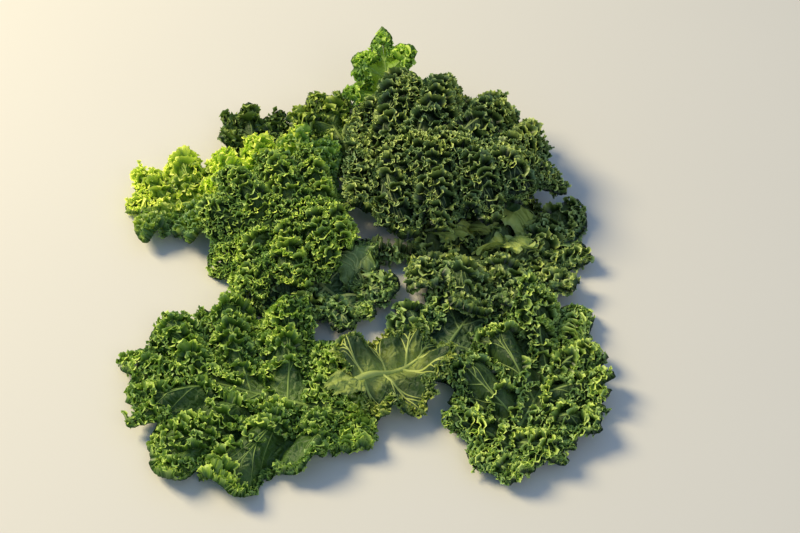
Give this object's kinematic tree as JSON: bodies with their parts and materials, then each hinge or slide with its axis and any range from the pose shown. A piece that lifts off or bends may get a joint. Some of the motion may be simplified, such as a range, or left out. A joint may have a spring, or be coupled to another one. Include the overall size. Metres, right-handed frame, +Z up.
{
  "type": "kale bunch",
  "caption": "Loose bunch of curly kale leaves heaped flat on a table, each leaf lobed and frilled along its margin.",
  "frame": {"origin": "on the table, under the middle of the bunch's bounding box", "axes": "+Z up from the table; +Y away from the picture's camera, the way the heap is longest; +X to the camera's right"},
  "size_m": [0.3812, 0.4314, 0.0752],
  "materials": {
    "leaf_dark": "waxy dark green leaf",
    "leaf_green": "waxy green leaf",
    "leaf_bright": "waxy mid green leaf with paler frills",
    "leaf_light": "waxy yellow-green leaf",
    "leaf_underside": "paler, matt underside of a leaf with a pale rib"
  },
  "bodies": {
    "root": {"leaf_middle": "leaf_dark", "leaf_right_under": "leaf_dark", "leaf_inner_vein": "leaf_dark", "leaf_far_left": "leaf_light", "leaf_back_left": "leaf_dark", "leaf_back_middle": "leaf_green", "leaf_back_tip": "leaf_light", "leaf_back_right": "leaf_dark", "leaf_left_light": "leaf_light", "leaf_left_ball": "leaf_green", "leaf_dome": "leaf_dark", "leaf_front_left": "leaf_bright", "leaf_front_right": "leaf_bright", "leaf_front_centre": "leaf_underside"}
  },
  "joints": []
}
